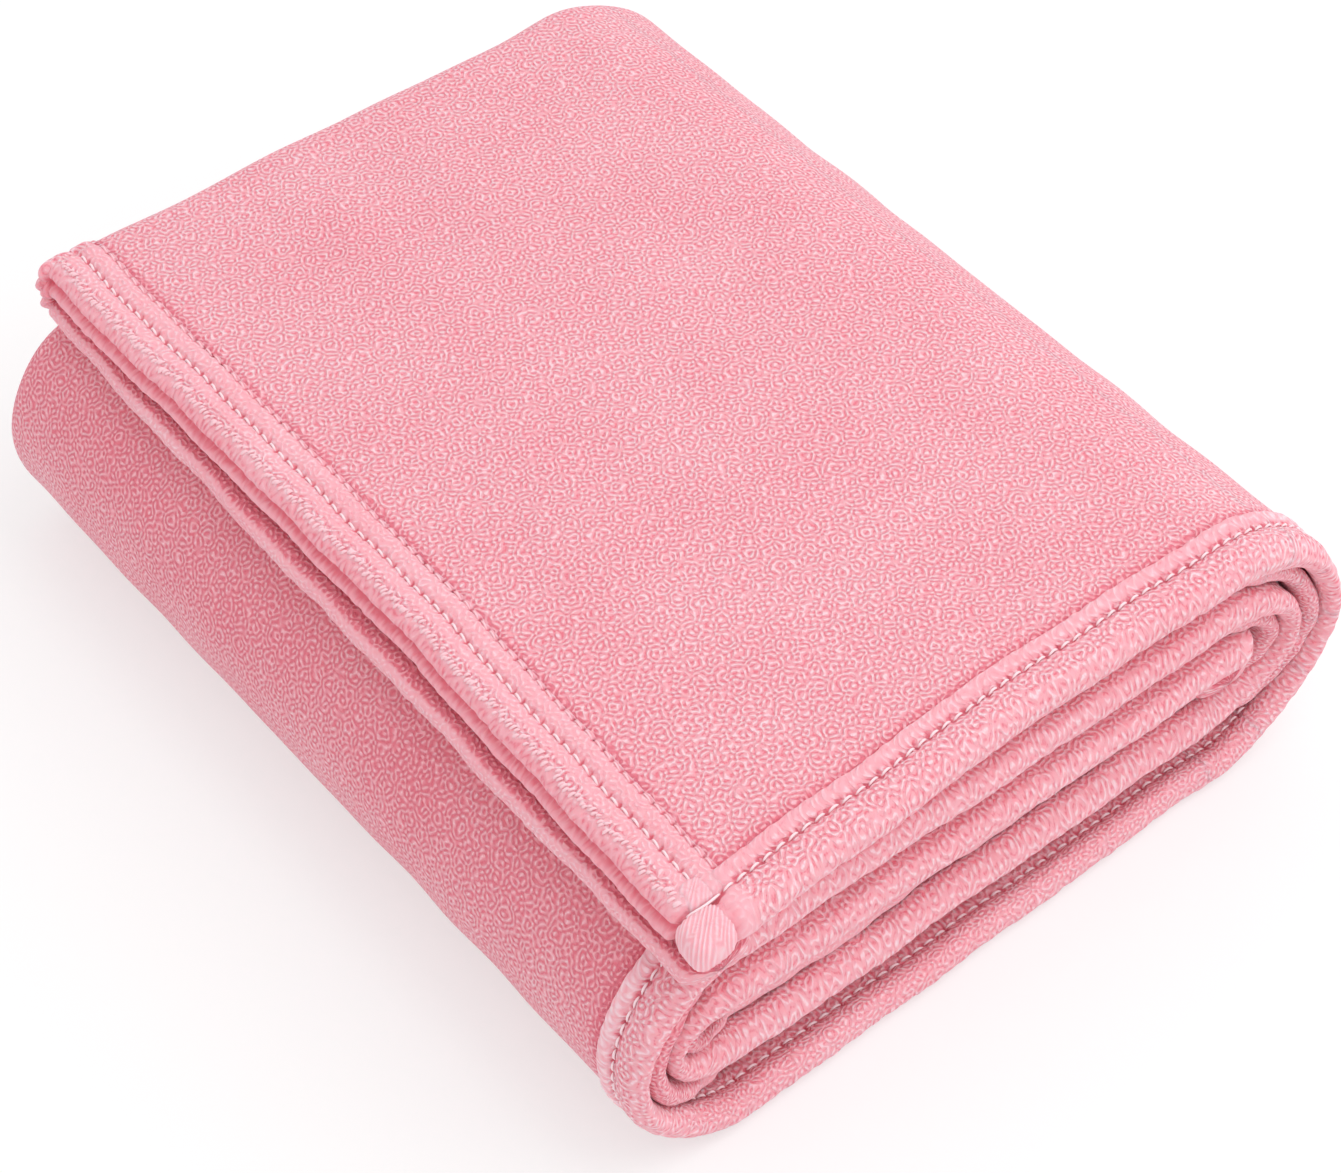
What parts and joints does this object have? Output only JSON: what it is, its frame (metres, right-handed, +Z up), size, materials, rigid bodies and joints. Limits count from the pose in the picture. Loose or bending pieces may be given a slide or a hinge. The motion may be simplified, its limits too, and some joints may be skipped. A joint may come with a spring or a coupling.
{
  "type": "folded fleece blanket",
  "caption": "Pink fleece blanket with stitched rolled hems, folded in three and rolled flat into a stack whose top flap folds open.",
  "frame": {"origin": "on the floor under the middle of the bundle's box", "axes": "+Z up, +Y along the folds towards the back fold, +X across the layers towards the big fold"},
  "size_m": [0.209, 0.258, 0.0764],
  "materials": {
    "fleece": "matt curled pile",
    "hem": "matt curled pile, rolled and stitched",
    "thread": "satin sewing thread"
  },
  "bodies": {
    "roll": {"bottom_fleece": "fleece", "bottom_hem": "hem", "bottom_thread": "thread", "left_fold_fleece": "fleece", "left_fold_hem": "hem", "left_fold_thread": "thread", "second_fleece": "fleece", "second_hem": "hem", "second_thread": "thread", "inner_right_fold_fleece": "fleece", "inner_right_fold_hem": "hem", "inner_right_fold_thread": "thread", "fourth_fleece": "fleece", "fourth_hem": "hem", "fourth_thread": "thread", "inner_left_fold_fleece": "fleece", "inner_left_fold_hem": "hem", "inner_left_fold_thread": "thread", "third_fleece": "fleece", "third_hem": "hem", "third_thread": "thread", "third_end_hem": "hem", "third_end_thread_1": "thread", "third_corner": "hem"},
    "fold_slice_1": {"right_fold_1_fleece": "fleece", "right_fold_1_hem": "hem", "right_fold_1_thread": "thread"},
    "fold_slice_2": {"right_fold_2_fleece": "fleece", "right_fold_2_hem": "hem", "right_fold_2_thread": "thread"},
    "fold_slice_3": {"right_fold_3_fleece": "fleece", "right_fold_3_hem": "hem", "right_fold_3_thread": "thread"},
    "fold_slice_4": {"right_fold_4_fleece": "fleece", "right_fold_4_hem": "hem", "right_fold_4_thread": "thread"},
    "fold_slice_5": {"right_fold_5_fleece": "fleece", "right_fold_5_hem": "hem", "right_fold_5_thread": "thread"},
    "flap": {"flap_fleece": "fleece", "flap_hem": "hem", "flap_thread": "thread", "flap_end_hem": "hem", "flap_end_thread_1": "thread", "flap_end_thread_2": "thread", "flap_corner": "hem"}
  },
  "joints": [
    {"name": "unfold", "type": "hinge", "parent": "roll", "child": "fold_slice_1", "pos_m": [0.07619, 0, 0.0013], "axis": [0, 1, 0], "range_deg": [0, 30]},
    {"name": "unfold_2", "type": "hinge", "parent": "fold_slice_1", "child": "fold_slice_2", "pos_m": [0.09331, 0, 0.01119], "axis": [0, 1, 0], "range_deg": [0, 30]},
    {"name": "unfold_3", "type": "hinge", "parent": "fold_slice_2", "child": "fold_slice_3", "pos_m": [0.1032, 0, 0.02831], "axis": [0, 1, 0], "range_deg": [0, 30]},
    {"name": "unfold_4", "type": "hinge", "parent": "fold_slice_3", "child": "fold_slice_4", "pos_m": [0.1032, 0, 0.04809], "axis": [0, 1, 0], "range_deg": [0, 30]},
    {"name": "unfold_5", "type": "hinge", "parent": "fold_slice_4", "child": "fold_slice_5", "pos_m": [0.09331, 0, 0.06521], "axis": [0, 1, 0], "range_deg": [0, 30]},
    {"name": "unfold_6", "type": "hinge", "parent": "fold_slice_5", "child": "flap", "pos_m": [0.07619, 0, 0.0751], "axis": [0, 1, 0], "range_deg": [0, 30]}
  ],
  "couplings": [
    {"joint": "unfold_2", "follows": "unfold", "ratio": 1},
    {"joint": "unfold_3", "follows": "unfold", "ratio": 1},
    {"joint": "unfold_4", "follows": "unfold", "ratio": 1},
    {"joint": "unfold_5", "follows": "unfold", "ratio": 1},
    {"joint": "unfold_6", "follows": "unfold", "ratio": 1}
  ]
}
